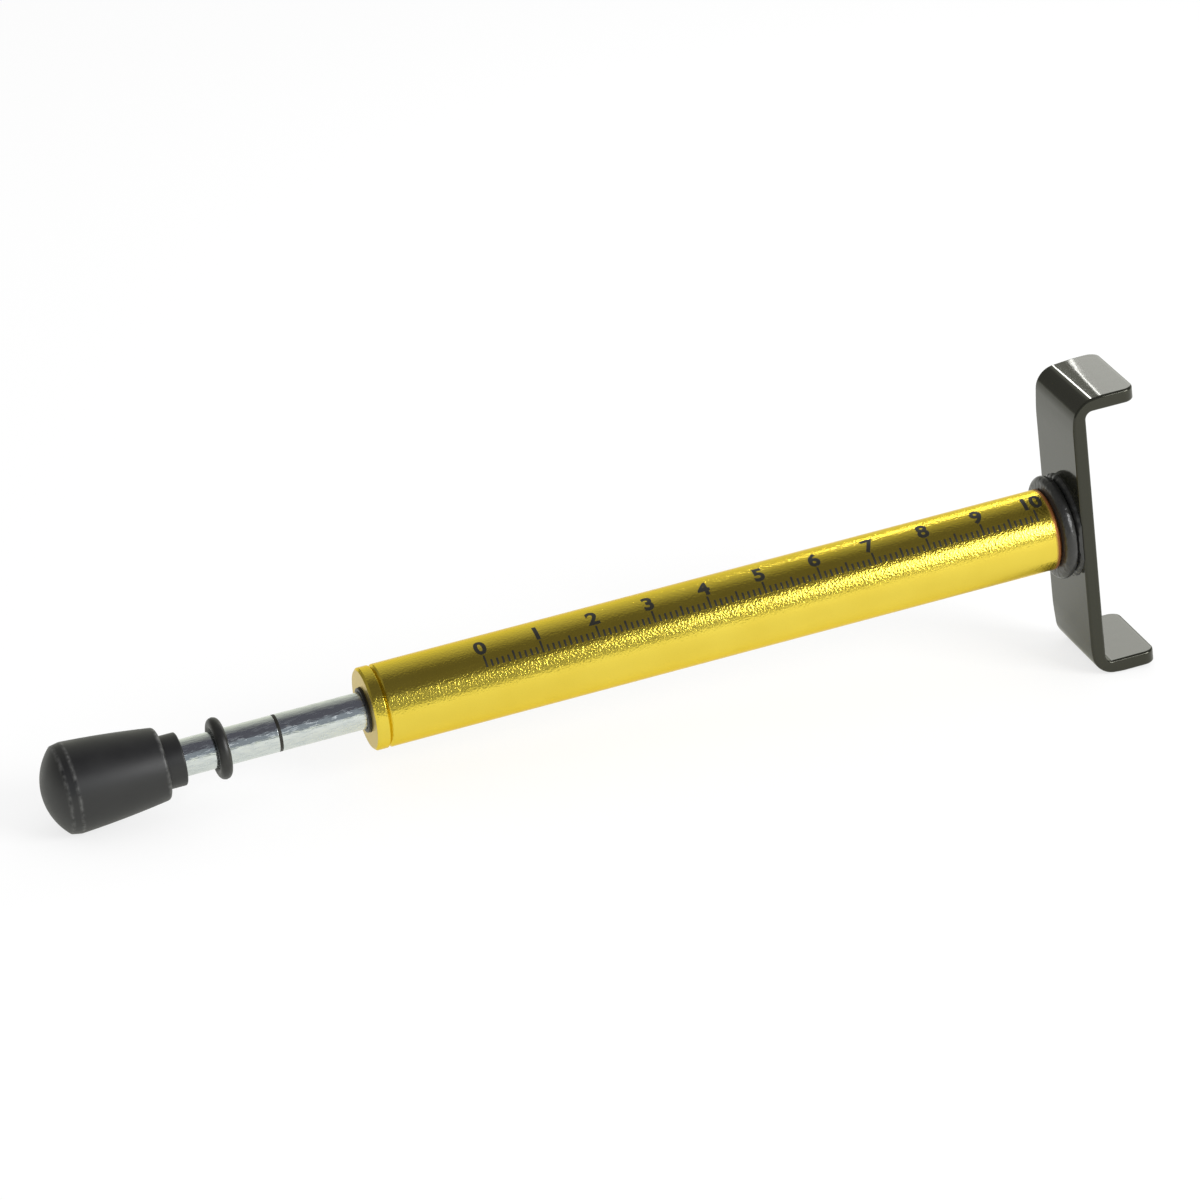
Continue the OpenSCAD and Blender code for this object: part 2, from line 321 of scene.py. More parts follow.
# Enamel over weld: the cradle's black, thicker and duller, lumpy from the metal under it. Its black is
# painted a shade lighter than the cradle's as sheen on the collar and weld.
WELD_LUMP = 1.1 * MM
WELD_RELIEF = 0.22 * MM
sheen_weld_enamel, tree, shader = new_material("sheen_weld_enamel", "#292928", 0.3)
where = add_node(tree, "ShaderNodeTexCoord").outputs["Object"]
lump = add_node(tree, "ShaderNodeTexNoise", {"Scale": 1 / WELD_LUMP, "Detail": 3}, {"Vector": where})
rough = add_node(tree, "ShaderNodeMapRange", {"To Min": 0.24, "To Max": 0.42}, {"Value": lump.outputs[0]})
cast = add_node(tree, "ShaderNodeBump", {
    "Strength": 1, "Distance": WELD_RELIEF,
}, {"Height": lump.outputs[0]})
tree.links.new(rough.outputs[0], shader.inputs["Roughness"])
tree.links.new(cast.outputs[0], shader.inputs["Normal"])
add_piece("collar", boss, sheen_weld_enamel, "gauge_body", "rear_boss")

# Weld bead. A hand-laid fillet weld runs round the base of the boss, rippled by the steps of the
# torch and dressed flush with the bar's edges. It carries the collar's enamel, painted a shade
# lighter as sheen.
WELD_W = 1.5 * MM
RIPPLES = 28
RIPPLE_STEPS = 10
RIPPLE_DEPTH = 0.1
RIPPLE_DRIFT = 0.06
SLOW_DRIFT = 3
QUICK_DRIFT = 7
WELD_ARC_STEPS = 7
NEAR_ZERO = 1e-6

weld_back_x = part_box("weld_bead")[1].x
foot_r = base_r + PRESS_GAP
weld = bmesh.new()
weld_rings = []
for k in range(RIPPLES * RIPPLE_STEPS):
    a = 2 * math.pi * k / (RIPPLES * RIPPLE_STEPS)
    phase = (k % RIPPLE_STEPS) / RIPPLE_STEPS
    drift = (math.sin(SLOW_DRIFT * a) + math.sin(QUICK_DRIFT * a + 1) + 2) / 4
    swell = 1 - RIPPLE_DRIFT * drift - RIPPLE_DEPTH * (1 - math.sin(math.pi * phase))
    widest = bar_half_w / max(abs(math.cos(a)), NEAR_ZERO)
    ring = [(weld_back_x, foot_r)]
    for s in range(WELD_ARC_STEPS + 1):
        b = math.pi / 2 * s / WELD_ARC_STEPS
        ring.append((weld_back_x - WELD_H * swell * math.sin(b), foot_r + WELD_W * swell * math.cos(b)))
    weld_rings.append([
        weld.verts.new((x, min(r, widest) * math.cos(a), min(r, widest) * math.sin(a))) for x, r in ring
    ])
for one, two in zip(weld_rings, weld_rings[1:] + weld_rings[:1]):
    for i in range(len(one)):
        j = (i + 1) % len(one)
        weld.faces.new((one[i], one[j], two[j], two[i]))
add_piece("weld", weld, sheen_weld_enamel, "gauge_body", "weld_bead")

# Tube. Drawn aluminium tube of 9/16 in, chamfered at both ends, etched and gold anodised.
# It is pressed on the boss's spigot and carries the printed scale.
tube = turned([
    (tube_low.x, bore_r, SMALL_EDGE), (tube_low.x, tube_r - TUBE_EDGE, SMALL_EDGE),
    (tube_low.x + TUBE_EDGE, tube_r, SMALL_EDGE), (tube_high.x - TUBE_EDGE, tube_r, SMALL_EDGE),
    (tube_high.x, tube_r - TUBE_EDGE, SMALL_EDGE), (tube_high.x, bore_r, SMALL_EDGE),
], closed=True)

# Gold anodising: a warm metal that glitters where light and dark meet, because the etch left it
# grainy, with faint lines along the draw. A brown band is painted at the rear end as the dark collar's
# reflection in the chamfer, and the metal is duller and less metallic there. Grain and lines are drawn
# coarser than they are so that they show.
GRAIN = 0.36 * MM
ETCH_DEPTH = 0.055 * MM
DRAW_LINE = 0.35 * MM
DRAW_STRETCH = 0.02
CLOUD = 9 * MM
REFLECTION_TINT_START = 1.2 * MM
REFLECTION_TINT_FULL = 0.7 * MM
REFLECTION_TINT_BARE = 0.5
REFLECTION_TINT_DULL = 0.42
gold_anodising, tree, shader = new_material("gold_anodising", "#dcbf48", 0.2, 1)
shader.inputs["Specular Tint"].default_value = linear("#f6e6b4")
where = add_node(tree, "ShaderNodeTexCoord").outputs["Object"]
along = add_node(tree, "ShaderNodeMapping", {"Scale": (DRAW_STRETCH, 1, 1)}, {"Vector": where})
lines = add_node(tree, "ShaderNodeTexNoise", {
    "Scale": 1 / DRAW_LINE, "Detail": 3,
}, {"Vector": along.outputs[0]})
grain = add_node(tree, "ShaderNodeTexNoise", {"Scale": 1 / GRAIN, "Detail": 2}, {"Vector": where})
cloud = add_node(tree, "ShaderNodeTexNoise", {"Scale": 1 / CLOUD, "Detail": 2}, {"Vector": where})
tint = add_node(tree, "ShaderNodeMix", {
    "data_type": "RGBA", 6: linear("#e9d255"), 7: linear("#dfc548"),
}, {0: cloud.outputs[0]})
place = add_node(tree, "ShaderNodeSeparateXYZ", links={0: where})
# Painted reflection: a brown band at the rear end stands in for the dark collar seen in the chamfer
reflection_tint = add_node(tree, "ShaderNodeMapRange", {
    "From Min": tube_high.x - REFLECTION_TINT_START, "From Max": tube_high.x - REFLECTION_TINT_FULL,
}, {"Value": place.outputs["X"]})
tint = add_node(tree, "ShaderNodeMix", {"data_type": "RGBA", 7: linear("#9a5f36")}, {
    0: reflection_tint.outputs[0], 6: tint.outputs[2],
})
bare = add_node(tree, "ShaderNodeMapRange", {"To Min": 1, "To Max": REFLECTION_TINT_BARE}, {"Value": reflection_tint.outputs[0]})
rough = add_node(tree, "ShaderNodeMapRange", {"To Min": 0.13, "To Max": 0.22}, {"Value": lines.outputs[0]})
dull = add_node(tree, "ShaderNodeMapRange", {"To Min": 0, "To Max": REFLECTION_TINT_DULL}, {"Value": reflection_tint.outputs[0]})
rough = add_node(tree, "ShaderNodeMath", {"operation": "MAXIMUM"}, {
    0: rough.outputs[0], 1: dull.outputs[0],
})
etch = add_node(tree, "ShaderNodeBump", {
    "Strength": 1, "Distance": ETCH_DEPTH,
}, {"Height": grain.outputs[0]})
tree.links.new(tint.outputs[2], shader.inputs["Base Color"])
tree.links.new(bare.outputs[0], shader.inputs["Metallic"])
tree.links.new(rough.outputs[0], shader.inputs["Roughness"])
tree.links.new(etch.outputs[0], shader.inputs["Normal"])
add_piece("gold_tube", tube, gold_anodising, "gauge_body", "tube")

# Scale print. A plain centimetre rule in black ink, screen printed on the upper front of the tube:
# a tick for each millimetre, longer ones at five and ten, and bold numbers.
SCALE_FROM_CAP = 18.1 * MM
SCALE_CM = 10
CM_MM = 10
TICK_FOOT = math.radians(41)
TICK_W = 0.34 * MM
TICK_LENGTHS = {10: 2.2 * MM, 5: 1.75 * MM, 1: 1.2 * MM}
NUMBER_FOOT = math.radians(62)
NUMBER_SIZE = 4.1 * MM
NUMBER_BOLD = 0.035
NUMBER_CURVE_STEPS = 6
NUMBER_JOIN = 0.002 * MM
INK_RISE = 0.03 * MM
INK_SINK = 0.05 * MM
INK_STEP = 0.3 * MM

scale_start = tube_low.x + SCALE_FROM_CAP


def ink_shell(flat, x, foot, into):
    """Adds a flat bmesh to the print as a thin closed shell bent round the tube."""
    flat.verts.ensure_lookup_table()
    top = max(v.co.y for v in flat.verts)
    for k in range(1, int(top / INK_STEP) + 1):
        cut = flat.verts[:] + flat.edges[:] + flat.faces[:]
        bmesh.ops.bisect_plane(flat, geom=cut, plane_co=(0, k * INK_STEP, 0), plane_no=(0, 1, 0))
    layers = []
    for r in (tube_r + INK_RISE, tube_r - INK_SINK):
        layer = {}
        for v in flat.verts:
            a = foot + v.co.y / tube_r
            layer[v] = into.verts.new((x + v.co.x, -r * math.cos(a), r * math.sin(a)))
        layers.append(layer)
    outer, inner = layers
    for face in flat.faces:
        into.faces.new([outer[v] for v in face.verts])
        into.faces.new([inner[v] for v in reversed(face.verts)])
    for edge in flat.edges:
        if edge.is_boundary:
            one, two = edge.verts
            into.faces.new((outer[one], outer[two], inner[two], inner[one]))
    flat.free()


printed = bmesh.new()
for millimetre in range(SCALE_CM * CM_MM + 1):
    length = next(TICK_LENGTHS[step] for step in TICK_LENGTHS if millimetre % step == 0)
    tick = bmesh.new()
    outline = ((-TICK_W / 2, 0), (TICK_W / 2, 0), (TICK_W / 2, length), (-TICK_W / 2, length))
    tick.faces.new([tick.verts.new((x, y, 0)) for x, y in outline])
    ink_shell(tick, scale_start + millimetre * MM, TICK_FOOT, printed)
for centimetre in range(SCALE_CM + 1):
    letters = bpy.data.curves.new("number", "FONT")
    letters.body = str(centimetre)
    letters.align_x = "CENTER"
    letters.size = NUMBER_SIZE / MM
    letters.offset = NUMBER_BOLD * NUMBER_SIZE / MM
    letters.resolution_u = NUMBER_CURVE_STEPS
    shown = bpy.data.objects.new("number", letters)
    scene.collection.objects.link(shown)
    bpy.context.view_layer.update()
    evaluated = shown.evaluated_get(bpy.context.evaluated_depsgraph_get())
    flat_mesh = bpy.data.meshes.new_from_object(evaluated)
    number = bmesh.new()
    number.from_mesh(flat_mesh)
    bmesh.ops.scale(number, vec=(MM, MM, MM), verts=number.verts)
    bmesh.ops.remove_doubles(number, verts=number.verts, dist=NUMBER_JOIN)
    bpy.data.objects.remove(shown)
    bpy.data.curves.remove(letters)
    bpy.data.meshes.remove(flat_mesh)
    ink_shell(number, scale_start + centimetre * CM_MM * MM, NUMBER_FOOT, printed)

# Ink: a thin dull black that lets a little of the metal's wear through
INK_SPECK = 0.2 * MM
black_ink, tree, shader = new_material("black_ink", "#14140f", 0.5)
where = add_node(tree, "ShaderNodeTexCoord").outputs["Object"]
speck = add_node(tree, "ShaderNodeTexNoise", {"Scale": 1 / INK_SPECK, "Detail": 2}, {"Vector": where})
tint = add_node(tree, "ShaderNodeMix", {
    "data_type": "RGBA", 6: linear("#0e0e0b"), 7: linear("#262318"),
}, {0: speck.outputs[0]})
tree.links.new(tint.outputs[2], shader.inputs["Base Color"])
add_piece("scale_print", printed, black_ink, "gauge_body")

# Front cap. Turned from gold anodised aluminium: a flange as wide as the tube, with the same chamfers,
# and a plug pressed into the tube. Its faced front shows the tool's rings.
BUSH_WALL = 0.65 * MM
ROD_GAP = 0.05 * MM

cap_low, cap_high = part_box("front_cap")
rod_low, rod_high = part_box("plunger_rod")
rod_r = rod_high.z
bush_r = rod_r + ROD_GAP + BUSH_WALL
hole_r = bush_r + PRESS_GAP
cap = turned([
    (cap_low.x, hole_r, SMALL_EDGE), (cap_low.x, tube_r - TUBE_EDGE, SMALL_EDGE),
    (cap_low.x + TUBE_EDGE, tube_r, SMALL_EDGE), (tube_low.x - TUBE_EDGE, tube_r, SMALL_EDGE),
    (tube_low.x, tube_r - TUBE_EDGE, SMALL_EDGE), (tube_low.x, spigot_r, SMALL_EDGE),
    (cap_high.x, spigot_r, SMALL_EDGE), (cap_high.x, hole_r, SMALL_EDGE),
], closed=True)

# Faced gold: the same dye on a turned surface, paler and duller, with rings round the axis. A wave
# texture of scale 1 has its lines about 0.3 apart.
WAVE_PITCH = 0.3
TOOL_RING = 0.16 * MM
TOOL_DEPTH = 0.01 * MM
faced_gold, tree, shader = new_material("faced_gold", "#cdb45f", 0.32, 1)
where = add_node(tree, "ShaderNodeTexCoord").outputs["Object"]
rings = add_node(tree, "ShaderNodeTexWave", {
    "wave_type": "RINGS", "rings_direction": "X", "Scale": WAVE_PITCH / TOOL_RING, "Distortion": 0.6,
}, {"Vector": where})
grain = add_node(tree, "ShaderNodeTexNoise", {"Scale": 1 / GRAIN, "Detail": 2}, {"Vector": where})
relief = add_node(tree, "ShaderNodeMath", {"operation": "ADD"}, {0: rings.outputs[1], 1: grain.outputs[0]})
cut = add_node(tree, "ShaderNodeBump", {
    "Strength": 0.2, "Distance": TOOL_DEPTH,
}, {"Height": relief.outputs[0]})
tree.links.new(cut.outputs[0], shader.inputs["Normal"])
end_cap = add_piece("end_cap", cap, gold_anodising, "gauge_body", "front_cap")
end_cap.data.materials.append(faced_gold)
for face in end_cap.data.polygons:
    if face.center.x < cap_low.x + SMALL_EDGE:
        face.material_index = 1

# Guide bush. A thin sleeve of black acetal pressed into the cap, which the rod slides through.
# Only its rim shows, as a dark ring round the rod.
bush_low, bush_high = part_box("guide_bush")
bush = turned([
    (bush_low.x, rod_r + ROD_GAP, SMALL_EDGE), (bush_low.x, bush_r, SMALL_EDGE),
    (bush_high.x, bush_r, SMALL_EDGE), (bush_high.x, rod_r + ROD_GAP, SMALL_EDGE),
], closed=True)

# Acetal: an even, waxy black
ACETAL_FLOW = 0.6 * MM
black_acetal, tree, shader = new_material("black_acetal", "#161615", 0.4)
where = add_node(tree, "ShaderNodeTexCoord").outputs["Object"]
flow = add_node(tree, "ShaderNodeTexNoise", {"Scale": 1 / ACETAL_FLOW, "Detail": 2}, {"Vector": where})
rough = add_node(tree, "ShaderNodeMapRange", {"To Min": 0.34, "To Max": 0.46}, {"Value": flow.outputs[0]})
tree.links.new(rough.outputs[0], shader.inputs["Roughness"])
add_piece("bush", bush, black_acetal, "gauge_body", "guide_bush")

# Stop washer. A natural nylon washer behind the cap's plug takes the clip's knock when the plunger
# springs back. It is stamped from sheet, so its edges are slightly broken.
WASHER_GAP = 0.25 * MM
stop_low, stop_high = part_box("stop_washer")
stop = turned([
    (stop_low.x, rod_r + WASHER_GAP, SMALL_EDGE), (stop_low.x, stop_high.z, SMALL_EDGE),
    (stop_high.x, stop_high.z, SMALL_EDGE), (stop_high.x, rod_r + WASHER_GAP, SMALL_EDGE),
], closed=True)

# Nylon: a milky white, faintly clouded
NYLON_CLOUD = 1.5 * MM
natural_nylon, tree, shader = new_material("natural_nylon", "#e4dfd0", 0.45)
where = add_node(tree, "ShaderNodeTexCoord").outputs["Object"]
cloud = add_node(tree, "ShaderNodeTexNoise", {"Scale": 1 / NYLON_CLOUD, "Detail": 2}, {"Vector": where})
tint = add_node(tree, "ShaderNodeMix", {
    "data_type": "RGBA", 6: linear("#e8e4d6"), 7: linear("#dcd6c4"),
}, {0: cloud.outputs[0]})
tree.links.new(tint.outputs[2], shader.inputs["Base Color"])
add_piece("stop_ring", stop, natural_nylon, "gauge_body", "stop_washer")

# Main spring. A compression spring coiled from oil-tempered wire, with a closed turn at each end.
# It stands between the seat and the spigot and shortens as the plunger goes in.
WIRE_R = 0.7 * MM
COIL_GAP = 0.05 * MM
ACTIVE_TURNS = 17
COIL_STEPS = 40
WIRE_SIDES = 16

seat_low, seat_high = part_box("spring_seat")
spring_start = seat_high.x
spring_len = boss_low.x - spring_start
coil_r = (rod_r + bore_r) / 2
closed_pitch = 2 * WIRE_R + COIL_GAP
open_pitch = (spring_len - 2 * WIRE_R - 2 * closed_pitch) / ACTIVE_TURNS
round_wire = [2 * math.pi * j / WIRE_SIDES for j in range(WIRE_SIDES)]
wire_rings = []
for k in range((ACTIVE_TURNS + 2) * COIL_STEPS + 1):
    t = k / COIL_STEPS
    end_turn = max(0, t - ACTIVE_TURNS - 1)
    open_turns = max(0, min(t - 1, ACTIVE_TURNS))
    climb = WIRE_R + closed_pitch * (min(t, 1) + end_turn) + open_pitch * open_turns
    pitch = closed_pitch if t < 1 or end_turn > 0 else open_pitch
    slope = math.atan(pitch / (2 * math.pi * coil_r))
    turn = 2 * math.pi * t
    outward = Vector((0, math.cos(turn), math.sin(turn)))
    lean = math.sin(slope)
    sideways = Vector((math.cos(slope), lean * math.sin(turn), -lean * math.cos(turn)))
    centre = Vector((spring_start + climb, 0, 0)) + coil_r * outward
    wire_rings.append([
        centre + WIRE_R * (math.cos(b) * outward + math.sin(b) * sideways) for b in round_wire
    ])

# Spring steel: grey wire, mottled by its temper and a thin skin of oil
WIRE_MOTTLE = 0.5 * MM
spring_steel, tree, shader = new_material("spring_steel", "#7d7f83", 0.3, 1)
where = add_node(tree, "ShaderNodeTexCoord").outputs["Object"]
mottle = add_node(tree, "ShaderNodeTexNoise", {"Scale": 1 / WIRE_MOTTLE, "Detail": 3}, {"Vector": where})
tint = add_node(tree, "ShaderNodeMix", {
    "data_type": "RGBA", 6: linear("#84868a"), 7: linear("#65666a"),
}, {0: mottle.outputs[0]})
rough = add_node(tree, "ShaderNodeMapRange", {"To Min": 0.25, "To Max": 0.4}, {"Value": mottle.outputs[0]})
tree.links.new(tint.outputs[2], shader.inputs["Base Color"])
tree.links.new(rough.outputs[0], shader.inputs["Roughness"])
coil = add_piece("coil", loft(wire_rings), spring_steel, "gauge_body", "main_spring")
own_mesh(coil)

# Plunger rod. A quarter-inch steel rod, centreless ground and zinc plated, with a stud for the knob,
# a groove for the load mark, a groove for the clip, and a tail inside the spring.
STUD_R = 2.5 * MM
MARK_DEPTH = 0.2 * MM
MARK_EDGE = 0.03 * MM
CLIP_DEPTH = 0.55 * MM

knob_low, knob_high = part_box("knob")
mark_low, mark_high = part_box("load_mark")
clip_low, clip_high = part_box("retaining_clip")
rod = turned([
    (rod_low.x, 0, 0), (rod_low.x, STUD_R - TUBE_EDGE, SMALL_EDGE),
    (rod_low.x + TUBE_EDGE, STUD_R, SMALL_EDGE),
    (knob_high.x, STUD_R, SMALL_EDGE), (knob_high.x, rod_r, SMALL_EDGE),
    (mark_low.x, rod_r, MARK_EDGE), (mark_low.x, rod_r - MARK_DEPTH, MARK_EDGE),
    (mark_high.x, rod_r - MARK_DEPTH, MARK_EDGE), (mark_high.x, rod_r, MARK_EDGE),
    (clip_low.x, rod_r, SMALL_EDGE), (clip_low.x, rod_r - CLIP_DEPTH, SMALL_EDGE),
    (clip_high.x + PRESS_GAP, rod_r - CLIP_DEPTH, SMALL_EDGE),
    (clip_high.x + PRESS_GAP, rod_r, SMALL_EDGE),
    (rod_high.x - TUBE_EDGE, rod_r, SMALL_EDGE), (rod_high.x, rod_r - TUBE_EDGE, SMALL_EDGE),
    (rod_high.x, 0, 0),
])

# Zinc plate: a cool bright metal with grinding lines and short dull dashes in its passivation, both
# drawn coarser than they are so that they show
ROD_LINE = 0.6 * MM
ROD_DASH = 0.34 * MM
DASH_DEPTH = 0.05 * MM
DASH_STRETCH = 0.2
DASH_DULL = 0.3
zinc_plate, tree, shader = new_material("zinc_plate", "#c9cdcb", 0.12, 1)
where = add_node(tree, "ShaderNodeTexCoord").outputs["Object"]
along = add_node(tree, "ShaderNodeMapping", {"Scale": (DRAW_STRETCH, 1, 1)}, {"Vector": where})
lines = add_node(tree, "ShaderNodeTexNoise", {
    "Scale": 1 / ROD_LINE, "Detail": 3,
}, {"Vector": along.outputs[0]})
short = add_node(tree, "ShaderNodeMapping", {"Scale": (DASH_STRETCH, 1, 1)}, {"Vector": where})
dash = add_node(tree, "ShaderNodeTexNoise", {
    "Scale": 1 / ROD_DASH, "Detail": 3,
}, {"Vector": short.outputs[0]})
worn = add_node(tree, "ShaderNodeMapRange", {"From Min": 0.4, "From Max": 0.65}, {"Value": dash.outputs[0]})
tint = add_node(tree, "ShaderNodeMix", {
    "data_type": "RGBA", 6: linear("#d4d9d8"), 7: linear("#c6ccce"),
}, {0: worn.outputs[0]})
rough = add_node(tree, "ShaderNodeMapRange", {"To Min": 0.04, "To Max": 0.1}, {"Value": lines.outputs[0]})
dull = add_node(tree, "ShaderNodeMapRange", {
    "From Min": 0.5, "From Max": 0.6, "To Min": 0, "To Max": DASH_DULL,
}, {"Value": dash.outputs[0]})
rough = add_node(tree, "ShaderNodeMath", {"operation": "MAXIMUM"}, {
    0: rough.outputs[0], 1: dull.outputs[0],
})
drawn = add_node(tree, "ShaderNodeBump", {
    "Strength": 1, "Distance": DASH_DEPTH,
}, {"Height": dash.outputs[0]})
tree.links.new(tint.outputs[2], shader.inputs["Base Color"])
tree.links.new(rough.outputs[0], shader.inputs["Roughness"])
tree.links.new(drawn.outputs[0], shader.inputs["Normal"])
add_piece("rod", rod, zinc_plate, "plunger", "plunger_rod")

# Load mark. Black paint wiped into a groove round the rod; the belt carries its full test load when
# this line reaches the cap.
MARK_CROWN = 0.04 * MM
mark = turned([
    (mark_low.x, rod_r - MARK_DEPTH + PRESS_GAP, MARK_CROWN), (mark_low.x, rod_r, MARK_CROWN),
    (mark_high.x, rod_r, MARK_CROWN), (mark_high.x, rod_r - MARK_DEPTH + PRESS_GAP, MARK_CROWN),
], closed=True)
add_piece("mark_line", mark, black_ink, "plunger", "load_mark")

# Retaining clip. A stamped E-clip of spring steel snapped into its groove; its three lugs hold the
# plunger in the tube. It keeps the shape it has in the construction.
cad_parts["retaining_clip"].data.materials.clear()
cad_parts["retaining_clip"].data.materials.append(spring_steel)

# Spring seat. A turned steel washer between clip and spring, guided by the tube's bore and zinc
# plated like the rod.
SEAT_EDGE = 0.2 * MM
seat = turned([
    (seat_low.x, rod_r + ROD_GAP, SMALL_EDGE), (seat_low.x, seat_high.z, SEAT_EDGE),
    (seat_high.x, seat_high.z, SEAT_EDGE), (seat_high.x, rod_r + ROD_GAP, SMALL_EDGE),
], closed=True)
add_piece("seat_ring", seat, zinc_plate, "plunger", "spring_seat")

# Knob. Compression moulded in black phenolic: a neck, a rounded shoulder, a slightly barrelled body
# that widens to a bevelled band, and a shallow dome for the palm. A brass insert is moulded in.
NECK_R = 4.55 * MM
NECK_LEN = 3.2 * MM
KNOB_SMALL_R = 6.15 * MM
SHOULDER_R = 0.9 * MM
BAND_LEN = 1.65 * MM
BAND_END_R = 7.5 * MM
DOME_H = 3.2 * MM
DOME_STEPS = 16
BODY_CROWN = 0.18 * MM
BODY_STEPS = 12
KNOB_EDGE = 0.3 * MM

insert_low, insert_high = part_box("knob_insert")
knob_r = knob_high.z
body_x = knob_high.x - NECK_LEN
dome_x = knob_low.x + DOME_H
band_x = dome_x + BAND_LEN
dome_r = (BAND_END_R ** 2 + DOME_H ** 2) / (2 * DOME_H)
dome_angle = math.asin(BAND_END_R / dome_r)
dome = []
for k in range(DOME_STEPS):
    a = dome_angle * k / DOME_STEPS
    dome.append((knob_low.x + dome_r * (1 - math.cos(a)), dome_r * math.sin(a), 0))
barrel = []
for k in range(1, BODY_STEPS):
    t = k / BODY_STEPS
    crown = BODY_CROWN * 4 * t * (1 - t)
    barrel.append((band_x + (body_x - band_x) * t, knob_r + (KNOB_SMALL_R - knob_r) * t + crown, 0))
knob = turned(dome + [
    (dome_x, BAND_END_R, KNOB_EDGE), (band_x, knob_r, KNOB_EDGE), *barrel,
    (body_x, KNOB_SMALL_R, SHOULDER_R), (body_x, NECK_R, SMALL_EDGE),
    (knob_high.x, NECK_R, KNOB_EDGE), (knob_high.x, STUD_R + PRESS_GAP, SMALL_EDGE),
    (insert_high.x, STUD_R + PRESS_GAP, 0), (insert_high.x, insert_high.z + PRESS_GAP, 0),
    (insert_low.x, insert_high.z + PRESS_GAP, 0), (insert_low.x, 0, 0),
])

# Phenolic: a satin charcoal with a fine mould texture, a few dull scuffs and edges rubbed pale
MOULD_GRAIN = 0.15 * MM
MOULD_DEPTH = 0.01 * MM
SCUFF = 3 * MM
RUB = 0.9 * MM
RUB_W = 0.45 * MM
black_phenolic, tree, shader = new_material("black_phenolic", "#1e1e1f", 0.42)
where = add_node(tree, "ShaderNodeTexCoord").outputs["Object"]
grain = add_node(tree, "ShaderNodeTexNoise", {"Scale": 1 / MOULD_GRAIN, "Detail": 2}, {"Vector": where})
scuff = add_node(tree, "ShaderNodeTexNoise", {"Scale": 1 / SCUFF, "Detail": 4}, {"Vector": where})
tint = add_node(tree, "ShaderNodeMix", {
    "data_type": "RGBA", 6: linear("#19191a"), 7: linear("#232323"),
}, {0: scuff.outputs[0]})
rough = add_node(tree, "ShaderNodeMapRange", {"To Min": 0.36, "To Max": 0.52}, {"Value": scuff.outputs[0]})
satin = add_node(tree, "ShaderNodeBump", {
    "Strength": 0.12, "Distance": MOULD_DEPTH,
}, {"Height": grain.outputs[0]})
place = add_node(tree, "ShaderNodeSeparateXYZ", links={0: where})
chips = add_node(tree, "ShaderNodeTexNoise", {"Scale": 1 / RUB, "Detail": 4}, {"Vector": where})
patchy = add_node(tree, "ShaderNodeMapRange", {
    "From Min": 0.35, "From Max": 0.7,
}, {"Value": chips.outputs[0]})
for edge_x in (dome_x, band_x, body_x - RUB_W):
    offset = add_node(tree, "ShaderNodeMath", {"operation": "SUBTRACT", 1: edge_x}, {0: place.outputs["X"]})
    away = add_node(tree, "ShaderNodeMath", {"operation": "ABSOLUTE"}, {0: offset.outputs[0]})
    near = add_node(tree, "ShaderNodeMapRange", {
        "From Min": RUB_W, "From Max": 0,
    }, {"Value": away.outputs[0]})
    rubbed = add_node(tree, "ShaderNodeMath", {"operation": "MULTIPLY"}, {
        0: near.outputs[0], 1: patchy.outputs[0],
    })
    tint = add_node(tree, "ShaderNodeMix", {"data_type": "RGBA", 7: linear("#585857")}, {
        0: rubbed.outputs[0], 6: tint.outputs[2],
    })
tree.links.new(tint.outputs[2], shader.inputs["Base Color"])
tree.links.new(rough.outputs[0], shader.inputs["Roughness"])
tree.links.new(satin.outputs[0], shader.inputs["Normal"])
add_piece("grip", knob, black_phenolic, "plunger", "knob")

# Knob insert. A turned brass nut with a blind hole, moulded into the knob and screwed on the stud.
# It can't be seen from outside.
INSERT_END = 1 * MM
insert = turned([
    (insert_low.x, 0, 0), (insert_low.x, insert_high.z, SMALL_EDGE),
    (insert_high.x, insert_high.z, SMALL_EDGE), (insert_high.x, STUD_R + PRESS_GAP, SMALL_EDGE),
    (insert_low.x + INSERT_END, STUD_R + PRESS_GAP, SMALL_EDGE), (insert_low.x + INSERT_END, 0, 0),
])

# Brass: yellow metal with the lathe's rings
BRASS_RING = 0.2 * MM
BRASS_DEPTH = 0.01 * MM
turned_brass, tree, shader = new_material("turned_brass", "#c9a250", 0.25, 1)
where = add_node(tree, "ShaderNodeTexCoord").outputs["Object"]
rings = add_node(tree, "ShaderNodeTexWave", {
    "Scale": WAVE_PITCH / BRASS_RING, "Distortion": 0.4,
}, {"Vector": where})
cut = add_node(tree, "ShaderNodeBump", {
    "Strength": 0.2, "Distance": BRASS_DEPTH,
}, {"Height": rings.outputs[1]})
tree.links.new(cut.outputs[0], shader.inputs["Normal"])
add_piece("threaded_insert", insert, turned_brass, "plunger", "knob_insert")

# Marker ring. A black rubber O-ring that grips the rod; the cap pushes it along and it stays to show
# how far the plunger went. It has the flat sheen of moulded rubber and a faint parting line.
RING_STEPS = 28
PARTING = 0.03 * MM
ring_low, ring_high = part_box("marker_ring")
ring_x = (ring_low.x + ring_high.x) / 2
section_r = (ring_high.x - ring_low.x) / 2
ring_centre_r = ring_high.z - section_r
ring_outline = []
for k in range(RING_STEPS):
    a = 2 * math.pi * k / RING_STEPS
    r = section_r - (PARTING if k in (1, RING_STEPS - 1) else 0)
    ring_outline.append((ring_x + r * math.sin(a), ring_centre_r + r * math.cos(a), 0))
o_ring = turned(ring_outline, closed=True)

